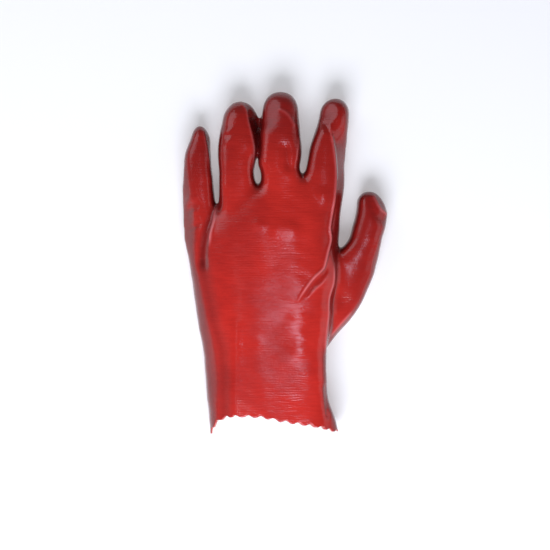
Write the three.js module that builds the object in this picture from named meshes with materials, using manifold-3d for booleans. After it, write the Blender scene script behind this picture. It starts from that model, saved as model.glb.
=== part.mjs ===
// A left-hand work glove: a knitted cotton liner dipped in PVC, so that liner and coating are one bonded wall.
// It lies palm down, as it is put on a bench. Millimetres, +Z up off the bench, +Y towards the fingertips,
// +X towards the thumb. The origin is the middle of the glove's outline, on the bench.
import * as THREE from "three";
import { mergeVertices } from "three/addons/utils/BufferGeometryUtils.js";
import Module from "manifold-3d";

const wasm = await Module();
wasm.setup();

// The wall: liner and coating together, and how thick it is where the coating gathers between the fingers.
const WALL = 1.3;
const WEB_WALL = 3.2;

// The body is the hand and the cuff, from the cuff's lowest corner to the webs between the fingers.
const BODY_LENGTH = 196;
const BODY_WIDTH = 94.4;
const BODY_DEPTH = 38;

// The cuff's cut edge: how far its middle stands above its lowest corner, and its pinking.
const RIM_RISE = 17.5;
const SCALLOP_PITCH = 9.4;
const SCALLOP_DEPTH = 1.9;

// The dips and folds that an empty glove has: how wide and how deep a full one is.
const FOLD_WIDTH = 8;
const FOLD_DEPTH = 3;

// The digits. length, width and depth are the free part's; forkAcross and forkUp place its fork on the body;
// lean is how far its axis tilts towards the thumb, in degrees; tip is the radius that its end rounds off with.
const DIGITS = {
  little: { length: 62.1, width: 22, depth: 23, forkAcross: -0.55, forkUp: 0.929, lean: 0.5, tip: 10.5 },
  ring: { length: 73.5, width: 30, depth: 26, forkAcross: -0.238, forkUp: 0.965, lean: 2.4, tip: 12.8 },
  middle: { length: 70.3, width: 32, depth: 26.5, forkAcross: 0.123, forkUp: 1.021, lean: 0.95, tip: 13.2 },
  index: { length: 61.7, width: 29, depth: 26, forkAcross: 0.483, forkUp: 1.037, lean: 7.9, tip: 12 },
  thumb: { length: 45.3, width: 26, depth: 25, forkAcross: 0.806, forkUp: 0.75, lean: 4.9, tip: 10 },
};

// Sections of the body. up is a share of BODY_LENGTH; left and right are the edges, as shares of BODY_WIDTH
// from the body's axis; low and high are shares of BODY_DEPTH above the bench, and what a section would have
// below the bench is flattened on it. squareLeft and squareRight say how square its upper corners are: 2 is an
// ellipse, more is boxier, and less is pinched. waistLeft and waistRight say how far up each edge sticks out
// most, as a share of the section's height.
const BODY_SECTIONS = table(
  ["up", "left", "right", "low", "high", "squareLeft", "squareRight", "waistLeft", "waistRight"],
  [
    [-0.12, -0.45, 0.64, -0.05, 0.84, 2.4, 1.3, 0.1, 0.08],
    [0.0, -0.465, 0.607, -0.05, 0.87, 2.4, 1.4, 0.1, 0.08],
    [0.068, -0.478, 0.582, -0.05, 0.89, 2.4, 1.6, 0.1, 0.1],
    [0.116, -0.486, 0.541, -0.05, 0.91, 2.4, 2.1, 0.1, 0.2],
    [0.163, -0.494, 0.516, -0.05, 0.93, 2.4, 2.8, 0.1, 0.32],
    [0.235, -0.503, 0.499, -0.05, 0.95, 2.4, 3.4, 0.1, 0.4],
    [0.355, -0.527, 0.499, -0.05, 0.96, 2.4, 3.6, 0.11, 0.42],
    [0.427, -0.56, 0.505, -0.05, 0.97, 2.4, 3.6, 0.13, 0.42],
    [0.546, -0.594, 0.524, -0.05, 0.99, 2.4, 3.6, 0.16, 0.42],
    [0.642, -0.622, 0.563, -0.05, 1.0, 2.3, 3.4, 0.2, 0.42],
    [0.762, -0.66, 0.603, -0.03, 0.99, 2.1, 3.2, 0.27, 0.42],
    [0.857, -0.689, 0.615, 0.0, 0.96, 1.95, 3.0, 0.33, 0.42],
    [0.929, -0.693, 0.64, 0.04, 0.9, 1.85, 2.8, 0.38, 0.42],
    [1.0, -0.693, 0.65, 0.08, 0.82, 1.85, 2.8, 0.4, 0.42],
  ],
);

// The line of the webs at the end of the body. up is a share of BODY_LENGTH.
const WEB_LINE = table(["across", "up"], [
  [-0.75, 0.9],
  [-0.403, 0.931],
  [-0.06, 1.0],
  [0.313, 1.035],
  [0.75, 1.03],
]);

// Sections of the digits. up is a share of the digit's length above its fork, so a negative one lies in the
// hand; left and right are shares of its width from its axis; low and high are shares of its depth.
const DIGIT_SECTIONS = {
  little: table(["up", "left", "right", "low", "high"], [
    [-0.6, -0.45, 0.4, 0.2, 0.95],
    [-0.3, -0.57, 0.56, 0.05, 1.08],
    [0.0, -0.615, 0.629, -0.02, 1.12],
    [0.151, -0.618, 0.554, -0.02, 1.12],
    [0.302, -0.587, 0.479, 0.0, 1.1],
    [0.453, -0.56, 0.422, 0.03, 1.08],
    [0.604, -0.545, 0.401, 0.04, 1.04],
    [0.72, -0.46, 0.375, 0.03, 0.99],
    [0.83, -0.345, 0.37, 0.02, 0.94],
    [1.0, -0.28, 0.24, 0.0, 0.86],
  ]),
  ring: table(["up", "left", "right", "low", "high"], [
    [-0.5, -0.4, 0.44, 0.2, 1.1],
    [-0.25, -0.48, 0.55, 0.08, 1.24],
    [0.0, -0.508, 0.573, 0.03, 1.24],
    [0.096, -0.492, 0.537, 0.04, 1.22],
    [0.2, -0.49, 0.43, 0.05, 1.2],
    [0.3, -0.505, 0.415, 0.06, 1.18],
    [0.415, -0.55, 0.478, 0.07, 1.15],
    [0.543, -0.551, 0.5, 0.07, 1.12],
    [0.67, -0.515, 0.49, 0.05, 1.07],
    [0.798, -0.455, 0.445, 0.02, 1.01],
    [0.9, -0.425, 0.425, 0.0, 0.95],
    [1.0, -0.42, 0.42, -0.01, 0.88],
  ]),
  middle: table(["up", "left", "right", "low", "high"], [
    [-0.56, -0.4, 0.44, 0.2, 1.1],
    [-0.28, -0.49, 0.53, 0.08, 1.24],
    [0.0, -0.513, 0.549, 0.03, 1.24],
    [0.078, -0.503, 0.498, 0.04, 1.22],
    [0.144, -0.53, 0.462, 0.05, 1.21],
    [0.278, -0.525, 0.515, 0.06, 1.19],
    [0.411, -0.515, 0.486, 0.07, 1.16],
    [0.544, -0.515, 0.456, 0.07, 1.13],
    [0.678, -0.495, 0.43, 0.05, 1.08],
    [0.811, -0.475, 0.405, 0.02, 1.01],
    [1.0, -0.45, 0.385, -0.01, 0.88],
  ]),
  index: table(["up", "left", "right", "low", "high"], [
    [-0.6, -0.42, 0.42, 0.2, 1.05],
    [-0.3, -0.5, 0.58, 0.08, 1.2],
    [-0.114, -0.532, 0.6, 0.05, 1.22],
    [0.0, -0.552, 0.566, 0.04, 1.22],
    [0.114, -0.519, 0.532, 0.05, 1.2],
    [0.266, -0.51, 0.514, 0.06, 1.18],
    [0.418, -0.474, 0.496, 0.07, 1.15],
    [0.57, -0.411, 0.48, 0.06, 1.11],
    [0.722, -0.36, 0.465, 0.03, 1.05],
    [0.85, -0.36, 0.44, 0.01, 0.98],
    [1.0, -0.37, 0.4, -0.01, 0.9],
  ]),
  thumb: table(["up", "left", "right", "low", "high"], [
    [-1.78, -1.38, -0.9, 0.1, 0.48],
    [-1.5, -1.45, -0.556, -0.02, 0.68],
    [-1.293, -1.45, -0.257, -0.04, 0.78],
    [-1.086, -1.42, -0.017, -0.04, 0.85],
    [-0.879, -1.35, 0.162, -0.04, 0.9],
    [-0.672, -1.28, 0.281, -0.04, 0.94],
    [-0.466, -1.18, 0.401, -0.03, 0.97],
    [-0.259, -1.0, 0.46, -0.02, 0.99],
    [-0.052, -0.74, 0.519, 0.0, 1.0],
    [0.155, -0.45, 0.55, 0.02, 1.0],
    [0.362, -0.385, 0.637, 0.03, 0.99],
    [0.569, -0.32, 0.666, 0.03, 0.97],
    [0.72, -0.3, 0.59, 0.02, 0.94],
    [0.85, -0.32, 0.48, 0.0, 0.91],
    [1.0, -0.34, 0.4, -0.01, 0.87],
  ]),
};

// Each fold runs straight from one place to another on the back. across and up are shares of BODY_WIDTH from
// its axis and of BODY_LENGTH; width and depth are shares of FOLD_WIDTH and FOLD_DEPTH, and a fold with a
// negative depth stands up.
const FOLDS = table(["across", "up", "toAcross", "toUp", "width", "depth"], [
  [-0.403, 0.93, -0.455, 0.77, 1.0, 0.85],
  [-0.33, 0.4, -0.34, 0.09, 0.9, 0.5],
  [-0.25, 0.42, -0.27, 0.08, 1.1, -0.5],
  [0.47, 0.52, 0.29, 0.43, 0.7, 0.55],
  [0.508, 0.56, 0.35, 0.47, 0.6, -0.5],
  [0.075, 0.42, 0.18, 0.34, 1.3, 0.5],
  [0.36, 0.45, 0.42, 0.31, 1.2, 0.4],
  [-0.345, 1.2, -0.255, 1.23, 0.6, 0.5],
  [-0.345, 1.16, -0.28, 1.19, 0.6, 0.4],
  [0.12, 1.3, 0.235, 1.24, 0.7, 0.5],
  [0.15, 1.11, 0.19, 1.12, 1.1, 0.6],
  [0.46, 1.23, 0.53, 1.23, 0.7, 0.4],
  [0.885, 0.935, 1.0, 0.89, 0.6, 0.5],
  [0.885, 0.74, 0.91, 0.72, 1.0, 0.5],
  [-0.62, 0.93, -0.6, 0.92, 1.0, 0.5],
]);

// How far back from the webs the body rounds off.
const WEB_ROUNDING = 17;

// The cut edge of the cuff. across runs from the cuff's left edge to its right one; rise is a share of RIM_RISE.
const RIM_SHAPE = table(["across", "rise"], [
  [0.0, 0.1],
  [0.03, 0.45],
  [0.075, 0.75],
  [0.13, 0.93],
  [0.25, 1.0],
  [0.42, 0.95],
  [0.56, 0.78],
  [0.75, 0.62],
  [0.9, 0.46],
  [1.0, 0.3],
]);

// How square the body's section is below, and how square a digit's is and how far up it is widest.
const BODY_SQUARE_BELOW = 3.2;
const DIGIT_CORNERS = {
  squareLeft: 2.35,
  squareRight: 2.35,
  squareBelow: 2.35,
  waistLeft: 0.47,
  waistRight: 0.47,
};

// How finely the outside and the inside are faceted.
const FACETS = {
  outside: { bodyAround: 68, bodyRows: 30, digitAround: 20, digitRows: 15 },
  inside: { bodyAround: 44, bodyRows: 22, digitAround: 12, digitRows: 9 },
};

// Rows of named columns from rows of numbers.
function table(columns, rows) {
  return rows.map((row) => Object.fromEntries(columns.map((name, i) => [name, row[i]])));
}

// The value of a table's column at a place between its rows, on a smooth curve through them.
function along(rows, key, column, at) {
  const last = rows.length - 1;
  let i = rows.findIndex((row, n) => n < last && at <= rows[n + 1][key]);
  if (i < 0) i = last - 1;
  const slope = (n) => {
    const a = rows[Math.max(n - 1, 0)];
    const b = rows[Math.min(n + 1, last)];
    return (b[column] - a[column]) / (b[key] - a[key]);
  };
  const step = rows[i + 1][key] - rows[i][key];
  const t = THREE.MathUtils.clamp((at - rows[i][key]) / step, 0, 1);
  const t2 = t * t;
  const t3 = t2 * t;
  return (
    (2 * t3 - 3 * t2 + 1) * rows[i][column] +
    (t3 - 2 * t2 + t) * step * slope(i) +
    (3 * t2 - 2 * t3) * rows[i + 1][column] +
    (t3 - t2) * step * slope(i + 1)
  );
}

// One closed section across the glove: points as [x, z], evenly spaced along it.
function sectionLoop({ left, right, low, high, squareLeft, squareRight, squareBelow, ...section }, count) {
  const FINE = 240;
  const middle = (left + right) / 2;
  const half = (right - left) / 2;
  const points = [];
  for (let i = 0; i <= FINE; i++) {
    const angle = (2 * Math.PI * i) / FINE;
    const c = Math.cos(angle);
    const s = Math.sin(angle);
    const n = s < 0 ? squareBelow : c < 0 ? squareLeft : squareRight;
    const widest = low + (high - low) * (c < 0 ? section.waistLeft : section.waistRight);
    const reach = s < 0 ? widest - low : high - widest;
    points.push([
      middle + half * Math.sign(c) * Math.abs(c) ** (2 / n),
      widest + reach * Math.sign(s) * Math.abs(s) ** (2 / n),
    ]);
  }
  const run = [0];
  for (let i = 1; i <= FINE; i++) {
    run.push(run[i - 1] + Math.hypot(points[i][0] - points[i - 1][0], points[i][1] - points[i - 1][1]));
  }
  const loop = [];
  for (let i = 0, k = 0; i < count; i++) {
    const want = (run[FINE] * i) / count;
    while (run[k + 1] < want) k++;
    const t = (want - run[k]) / (run[k + 1] - run[k] || 1);
    loop.push([
      points[k][0] + (points[k + 1][0] - points[k][0]) * t,
      points[k][1] + (points[k + 1][1] - points[k][1]) * t,
    ]);
  }
  return loop;
}

// A closed form skinned over loops of equal count, each loop a list of Vector3, with both ends capped.
function skin(loops) {
  const count = loops[0].length;
  const points = loops.flat();
  const centre = (loop) =>
    loop.reduce((sum, p) => sum.add(p), new THREE.Vector3()).multiplyScalar(1 / loop.length);
  const first = points.push(centre(loops[0])) - 1;
  const last = points.push(centre(loops[loops.length - 1])) - 1;
  const index = [];
  for (let row = 0; row + 1 < loops.length; row++) {
    for (let i = 0; i < count; i++) {
      const a = row * count + i;
      const b = row * count + ((i + 1) % count);
      index.push(a, b + count, b, a, a + count, b + count);
    }
  }
  const top = (loops.length - 1) * count;
  for (let i = 0; i < count; i++) {
    const next = (i + 1) % count;
    index.push(first, i, next, last, top + next, top + i);
  }
  const geometry = new THREE.BufferGeometry().setFromPoints(points);
  geometry.setIndex(index);
  return geometry;
}

// How much of its full section a form keeps at a distance from its end: a quarter of a circle.
function rounding(distance, radius) {
  const left = 1 - THREE.MathUtils.clamp(distance / radius, 0, 1);
  return Math.sqrt(Math.max(0, 1 - left * left));
}

// Row positions from 0 to 1 that crowd towards the rounded end.
function rowShares(count) {
  return Array.from({ length: count + 1 }, (_, i) => Math.sin((Math.PI / 2) * (i / count)) ** 1.15);
}

// How far the folds lower a point of the back. Only the upper half is folded.
function foldDrop(x, y, z) {
  const upper = THREE.MathUtils.smoothstep(z, BODY_DEPTH * 0.25, BODY_DEPTH * 0.55);
  return FOLDS.reduce((drop, fold) => {
    const from = new THREE.Vector3(fold.across * BODY_WIDTH, fold.up * BODY_LENGTH, 0);
    const to = new THREE.Vector3(fold.toAcross * BODY_WIDTH, fold.toUp * BODY_LENGTH, 0);
    const here = new THREE.Vector3(x, y, 0);
    const nearest = new THREE.Line3(from, to).closestPointToPoint(here, true, new THREE.Vector3());
    const away = here.distanceTo(nearest) / (fold.width * FOLD_WIDTH);
    return drop + fold.depth * FOLD_DEPTH * Math.exp(-2 * away * away) * upper;
  }, 0);
}

// A point of a form's surface, folded with its wall, and flattened where it would go through the bench.
function placed(x, y, z, inset) {
  return new THREE.Vector3(x, y, Math.max(z - foldDrop(x, y, z + inset), inset));
}

// A section of a form: its table's edges at a place, inset by the wall and drawn in by keep where it ends.
function sectionAt(rows, up, { width, depth }, inset, keep, corner = null) {
  const left = along(rows, "up", "left", up) * width + inset;
  const right = along(rows, "up", "right", up) * width - inset;
  const low = along(rows, "up", "low", up) * depth + inset;
  const high = along(rows, "up", "high", up) * depth - inset;
  const drawnIn = corner ?? ((right - left) / 2) * (1 - keep);
  const level = (low + high) / 2;
  return {
    left: left + drawnIn,
    right: right - drawnIn,
    low: level + (low - level) * keep,
    high: level + (high - level) * keep,
  };
}

// The outside of one digit, or its inside when inset is the wall.
function digitForm(name, inset, { digitAround, digitRows }) {
  const size = DIGITS[name];
  const rows = DIGIT_SECTIONS[name];
  const start = rows[0].up * size.length + inset;
  const end = size.length - inset;
  const tilt = Math.tan(THREE.MathUtils.degToRad(size.lean));
  const loops = rowShares(digitRows).map((share) => {
    const y = start + (end - start) * share;
    const keep = Math.max(rounding(end - y, size.tip - inset), 0.02);
    const section = { ...sectionAt(rows, y / size.length, size, inset, keep), ...DIGIT_CORNERS };
    const originX = size.forkAcross * BODY_WIDTH + y * tilt;
    const originY = size.forkUp * BODY_LENGTH + y;
    return sectionLoop(section, digitAround).map(([x, z]) => placed(originX + x, originY, z, inset));
  });
  return skin(loops);
}

// The body's section at a share of its length, with its corners.
function bodySection(up, inset, keep, corner) {
  const size = { width: BODY_WIDTH, depth: BODY_DEPTH };
  const section = { ...sectionAt(BODY_SECTIONS, up, size, inset, keep, corner), squareBelow: BODY_SQUARE_BELOW };
  for (const column of ["squareLeft", "squareRight", "waistLeft", "waistRight"]) {
    section[column] = along(BODY_SECTIONS, "up", column, up);
  }
  return section;
}

// The outside of the hand and cuff, or its inside when inset is the wall.
function bodyForm(inset, { bodyAround, bodyRows }) {
  const start = BODY_SECTIONS[0].up * BODY_LENGTH;
  const end = BODY_LENGTH - (inset && WEB_WALL);
  const radius = WEB_ROUNDING - inset;
  const loops = rowShares(bodyRows).map((share) => {
    const y = start + (end - start) * share;
    const keep = Math.max(rounding(end - y, radius), 0.05);
    const section = bodySection(y / BODY_LENGTH, inset, keep, radius * (1 - keep));
    const slant = THREE.MathUtils.smoothstep(y / BODY_LENGTH, 0.7, 1);
    return sectionLoop(section, bodyAround).map(([x, z]) => {
      const web = along(WEB_LINE, "across", "up", x / BODY_WIDTH);
      return placed(x, y + (web - 1) * BODY_LENGTH * slant, z, inset);
    });
  });
  return skin(loops);
}

// The waste that the pinking shears take off the cuff: all that lies below the cut edge. The cut edge is the
// same along each line from the cuff's middle outwards, and its scallops are even along the wall.
function pinkingWaste() {
  const STEPS_PER_SCALLOP = 6;
  const edge = bodySection(0, 0, 1);
  const perimeter = sectionLoop(edge, FACETS.outside.bodyAround).reduce((sum, p, i, all) => {
    const q = all[(i + 1) % all.length];
    return sum + Math.hypot(q[0] - p[0], q[1] - p[1]);
  }, 0);
  const scallops = Math.round(perimeter / SCALLOP_PITCH);
  const loop = sectionLoop(edge, scallops * STEPS_PER_SCALLOP);
  const middle = [(edge.left + edge.right) / 2, (edge.low + edge.high) / 2];
  const height = ([x], i) => {
    const across = THREE.MathUtils.clamp((x - edge.left) / (edge.right - edge.left), 0, 1);
    const wave = Math.cos((2 * Math.PI * i) / STEPS_PER_SCALLOP) / 2;
    return along(RIM_SHAPE, "across", "rise", across) * RIM_RISE + SCALLOP_DEPTH * wave;
  };
  const ring = (scale, level) =>
    loop.map(
      (p, i) =>
        new THREE.Vector3(
          middle[0] + (p[0] - middle[0]) * scale,
          level ?? height(p, i),
          middle[1] + (p[1] - middle[1]) * scale,
        ),
    );
  const below = BODY_SECTIONS[0].up * 2 * BODY_LENGTH;
  return skin([ring(0.4, below), ring(1.6, below), ring(1.6), ring(0.4)]);
}

// A three.js geometry as a manifold-3d solid, and back.
function solidOf(geometry) {
  const bare = new THREE.BufferGeometry().setAttribute("position", geometry.getAttribute("position"));
  bare.setIndex(geometry.index);
  const merged = mergeVertices(bare, 1e-4);
  return new wasm.Manifold(
    new wasm.Mesh({
      numProp: 3,
      vertProperties: merged.attributes.position.array,
      triVerts: new Uint32Array(merged.index.array),
    }),
  );
}

// The largest piece of a solid, without the slivers that crossing facets can leave.
function largestPiece(solid) {
  return solid.decompose().reduce((a, b) => (b.volume() > a.volume() ? b : a));
}

function geometryOf(solid) {
  const mesh = solid.getMesh();
  const geometry = new THREE.BufferGeometry();
  geometry.setAttribute("position", new THREE.BufferAttribute(mesh.vertProperties, mesh.numProp));
  geometry.setIndex(new THREE.BufferAttribute(mesh.triVerts, 1));
  geometry.computeVertexNormals();
  return geometry;
}

// The body and all the digits joined, as one solid form.
function handForm(inset, facets) {
  const hand = Object.keys(DIGITS).reduce(
    (joined, name) => joined.add(solidOf(digitForm(name, inset, facets))),
    solidOf(bodyForm(inset, facets)),
  );
  return largestPiece(hand);
}

function coatedShell() {
  const hollow = handForm(0, FACETS.outside).subtract(handForm(WALL, FACETS.inside));
  const geometry = geometryOf(largestPiece(hollow.subtract(solidOf(pinkingWaste()))));
  geometry.computeBoundingBox();
  const { min, max } = geometry.boundingBox;
  geometry.translate(-(min.x + max.x) / 2, -(min.y + max.y) / 2, -min.z);
  const material = new THREE.MeshStandardMaterial({ color: 0xb0201f, roughness: 0.32, metalness: 0 });
  const mesh = new THREE.Mesh(geometry, material);
  mesh.name = "glove_shell";
  return mesh;
}

const glove = new THREE.Group();
glove.add(coatedShell());

export default glove;
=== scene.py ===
"""A red PVC coated work glove for the left hand, lying palm down and empty on a pale bench.

The glove is one bonded wall: a cotton knit dipped in PVC over a hand-shaped former. Its outside is skinned as
closed tubes, one for hand and cuff and one for each digit, fused, softened where they meet and folded as an
empty glove folds. Its inside follows the outside one wall thickness in, and pinking shears cut the cuff.
Lengths are in millimetres in the glove's own axes until a mesh is made, which is in metres in the frame's.
"""

from __future__ import annotations

import logging
import math
from collections.abc import Sequence
from dataclasses import dataclass, field
from enum import Enum

import bmesh
import bpy
import numpy as np
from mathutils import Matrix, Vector

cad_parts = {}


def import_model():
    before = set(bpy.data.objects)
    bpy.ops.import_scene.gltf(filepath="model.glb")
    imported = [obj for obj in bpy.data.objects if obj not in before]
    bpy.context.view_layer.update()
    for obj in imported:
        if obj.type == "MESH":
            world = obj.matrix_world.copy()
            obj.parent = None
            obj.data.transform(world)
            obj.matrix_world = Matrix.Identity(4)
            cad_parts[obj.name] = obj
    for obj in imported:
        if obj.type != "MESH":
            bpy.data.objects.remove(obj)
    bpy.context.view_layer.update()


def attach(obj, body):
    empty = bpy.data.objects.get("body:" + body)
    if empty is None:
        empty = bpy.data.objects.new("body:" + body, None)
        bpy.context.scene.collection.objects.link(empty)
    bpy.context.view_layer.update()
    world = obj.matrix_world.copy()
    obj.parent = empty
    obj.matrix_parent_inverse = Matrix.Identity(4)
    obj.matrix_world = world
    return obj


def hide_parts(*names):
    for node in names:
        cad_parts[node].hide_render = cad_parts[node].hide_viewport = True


LOG = logging.getLogger("glove")
MM = 0.001
MARK_REACH = 2.0
MARK_END = 0.3
SHELL_NODE = "glove_shell"

Array = np.ndarray
Rows = tuple[tuple[float, ...], ...]


def smoothstep(value: Array, low: float, high: float) -> Array:
    """A smooth step from 0 at low to 1 at high: 3t^2 - 2t^3 of the share t between them.

    Args:
        value: where the step is read.
        low: where it starts.
        high: where it ends.

    Returns:
        The step's height at each value.
    """
    t = np.clip((value - low) / (high - low), 0.0, 1.0)
    return t * t * (3.0 - 2.0 * t)


@dataclass(frozen=True)
class Table:
    """Rows of named columns, read on a smooth curve through them. The first column is the key."""

    columns: tuple[str, ...]
    rows: Rows

    def column(self, name: str) -> Array:
        """The column's numbers."""
        return np.array([row[self.columns.index(name)] for row in self.rows])

    def at(self, name: str, key: Array) -> Array:
        """The column's value at places along the key.

        A cubic Hermite curve through the rows, whose slope at each row is that between its neighbours.

        Args:
            name: the column.
            key: the places, clamped to the table's ends.

        Returns:
            The values, one for each place.
        """
        keys, values = self.column(self.columns[0]), self.column(name)
        before = np.maximum(np.arange(len(keys)) - 1, 0)
        after = np.minimum(np.arange(len(keys)) + 1, len(keys) - 1)
        slopes = (values[after] - values[before]) / (keys[after] - keys[before])
        i = np.clip(np.searchsorted(keys, key, side="right") - 1, 0, len(keys) - 2)
        step = keys[i + 1] - keys[i]
        t = np.clip((key - keys[i]) / step, 0.0, 1.0)
        return (
            (2 * t**3 - 3 * t**2 + 1) * values[i]
            + (t**3 - 2 * t**2 + t) * step * slopes[i]
            + (3 * t**2 - 2 * t**3) * values[i + 1]
            + (t**3 - t**2) * step * slopes[i + 1]
        )

    def edges(self, key: Array, width: float, depth: float) -> tuple[Array, ...]:
        """The left, right, low and high edges along the key, which are shares of a width and a depth."""
        sizes = {"left": width, "right": width, "low": depth, "high": depth}
        return tuple(self.at(name, key) * size for name, size in sizes.items())


@dataclass(frozen=True)
class Corners:
    """How square the quarters of a section are, and how far up each edge sticks out most."""

    square_left: Array | float
    square_right: Array | float
    square_below: Array | float
    waist_left: Array | float
    waist_right: Array | float


def section_grid(left: Array, right: Array, low: Array, high: Array, corners: Corners, around: int) -> Array:
    """Closed sections across the glove, one for each row.

    Each quarter is a superellipse: x is the half width times |cos|^(2/n) and z is the reach above or below
    the waist times |sin|^(2/n), where n is that quarter's squareness.

    Args:
        left: the left edge of each row.
        right: the right edge of each row.
        low: the underside of each row.
        high: the top of each row.
        corners: the squareness and the waists.
        around: points on a section.

    Returns:
        An array of rows by points by (x, z).
    """
    angle = np.arange(around)[None, :] * (2.0 * math.pi / around)
    c, s = np.cos(angle), np.sin(angle)

    def rows(value: Array | float) -> Array:
        """A value for each row, as a column."""
        return np.broadcast_to(np.asarray(value, float), left.shape)[:, None]

    above = np.where(c < 0, rows(corners.square_left), rows(corners.square_right))
    n = np.where(s < 0, rows(corners.square_below), above)
    waist = np.where(c < 0, rows(corners.waist_left), rows(corners.waist_right))
    widest = rows(low) + rows(high - low) * waist
    reach = np.where(s < 0, widest - rows(low), rows(high) - widest)
    x = rows((left + right) / 2) + rows((right - left) / 2) * np.sign(c) * np.abs(c) ** (2 / n)
    z = widest + reach * np.sign(s) * np.abs(s) ** (2 / n)
    return np.stack([x, z], axis=-1)


@dataclass
class Solid:
    """A mesh in the making: its vertices in millimetres and its faces."""

    vertices: Array
    faces: list[tuple[int, ...]]

    @classmethod
    def skinned(cls, grid: Array) -> Solid:
        """A closed solid over a grid of loops: quads between loops and a fan to the middle of each end loop.

        Args:
            grid: rows by points by (x, y, z), each row one loop.

        Returns:
            The solid, its faces pointing outwards for loops that turn anticlockwise seen from the far end.
        """
        rows, around, _ = grid.shape
        first, last = rows * around, rows * around + 1
        vertices = np.vstack([grid.reshape(-1, 3), grid[0].mean(axis=0), grid[-1].mean(axis=0)])
        a = np.arange((rows - 1) * around)
        b = a - a % around + (a + 1) % around
        quads = np.stack([a, a + around, b + around, b], axis=1)
        i = np.arange(around)
        j = (i + 1) % around
        top = (rows - 1) * around
        fans = np.vstack(
            [
                np.stack([np.full(around, first), i, j], axis=1),
                np.stack([np.full(around, last), top + j, top + i], axis=1),
            ]
        )
        return cls(vertices, [tuple(f) for f in quads.tolist()] + [tuple(f) for f in fans.tolist()])

    @classmethod
    def joined(cls, solids: Sequence[Solid]) -> Solid:
        """All the solids in one mesh, still overlapping.

        Args:
            solids: what to join.

        Returns:
            The joined solid.
        """
        starts = np.cumsum([0] + [len(s.vertices) for s in solids[:-1]])
        faces = [tuple(int(n + start) for n in f) for s, start in zip(solids, starts) for f in s.faces]
        return cls(np.vstack([s.vertices for s in solids]), faces)

    def to_object(self, name: str) -> bpy.types.Object:
        """A Blender object with this mesh, in millimetres.

        Args:
            name: the object's and its mesh's name.

        Returns:
            The object, in the scene.
        """
        mesh = bpy.data.meshes.new(name)
        mesh.from_pydata(self.vertices.tolist(), [], self.faces)
        mesh.update()
        return placed(name, mesh)


def read(items: bpy.types.bpy_prop_collection, name: str, width: int, kind: type = float) -> Array:
    """A property of all items, such as a mesh's vertices, as an array with a row of the width for each.

    Args:
        items: the mesh's vertices, edges, loops or polygons.
        name: the property.
        width: how many numbers an item has.
        kind: the kind of number.

    Returns:
        An array with a row for each item.
    """
    values = np.empty(len(items) * width, dtype=kind)
    items.foreach_get(name, values)
    return values.reshape(-1, width)


def read_points(mesh: bpy.types.Mesh) -> Array:
    """The mesh's vertices, a row of x, y and z each."""
    return read(mesh.vertices, "co", 3)


def read_normals(mesh: bpy.types.Mesh) -> Array:
    """The mesh's vertex normals, a row of x, y and z each."""
    return read(mesh.vertex_normals, "vector", 3)


def read_edges(mesh: bpy.types.Mesh) -> Array:
    """The mesh's edges, two vertex numbers each."""
    return read(mesh.edges, "vertices", 2, np.int64)


def write_points(mesh: bpy.types.Mesh, points: Array) -> None:
    """Put the vertices where the array says."""
    mesh.vertices.foreach_set("co", points.astype(np.float32).ravel())
    mesh.update()


def store(mesh: bpy.types.Mesh, name: str, shares: Array) -> None:
    """Keep a share for each vertex as an attribute that the materials read."""
    mesh.attributes.new(name, "FLOAT", "POINT").data.foreach_set("value", shares.astype(np.float32))


def placed(name: str, data: bpy.types.ID) -> bpy.types.Object:
    """A new object in the scene that holds the data.

    Args:
        name: the object's name.
        data: a mesh, a light or a camera.

    Returns:
        The object.
    """
    obj = bpy.data.objects.new(name, data)
    bpy.context.scene.collection.objects.link(obj)
    return obj


def settled(mesh: bpy.types.Mesh, passes: int) -> Array:
    """The mesh's vertices relaxed evenly, each pass half the way to their neighbours' middle."""
    points = read_points(mesh)
    return relaxed(points, read_edges(mesh), np.full(len(points), 0.5), passes)


def relaxed(points: Array, edges: Array, weight: Array, passes: int) -> Array:
    """The points moved towards the middle of their neighbours, as a membrane settles.

    Each pass moves a point by its weight times the way to the mean of the points that it shares an edge with.

    Args:
        points: n by 3.
        edges: pairs of point numbers.
        weight: how far each point goes in a pass, from 0 to 1.
        passes: how many times.

    Returns:
        The moved points.
    """
    count = np.bincount(edges.ravel(), minlength=len(points))[:, None]
    for _ in range(passes):
        total = np.stack(
            [
                np.bincount(edges[:, 0], points[edges[:, 1], k], len(points))
                + np.bincount(edges[:, 1], points[edges[:, 0], k], len(points))
                for k in range(3)
            ],
            axis=1,
        )
        points = points + weight[:, None] * (total / count - points)
    return points


def baked(obj: bpy.types.Object, name: str) -> bpy.types.Object:
    """A new object holding the mesh that obj's modifiers make. obj is removed.

    Args:
        obj: the object, which is removed.
        name: the new object's and its mesh's name.

    Returns:
        The new object.
    """
    graph = bpy.context.evaluated_depsgraph_get()
    mesh = bpy.data.meshes.new_from_object(obj.evaluated_get(graph))
    mesh.name = name
    bpy.data.objects.remove(obj)
    return placed(name, mesh)


def remeshed(obj: bpy.types.Object, voxel: float, name: str) -> bpy.types.Object:
    """One skin round all the closed shells of obj, made of even quads of the voxel's size.

    Args:
        obj: closed shells that may overlap. It is removed.
        voxel: the quads' size.
        name: the new object's name.

    Returns:
        The new object.
    """
    modifier = obj.modifiers.new("skin", "REMESH")
    modifier.mode = "VOXEL"
    modifier.voxel_size = voxel
    modifier.adaptivity = 0.0
    modifier.use_smooth_shade = True
    return baked(obj, name)


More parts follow.
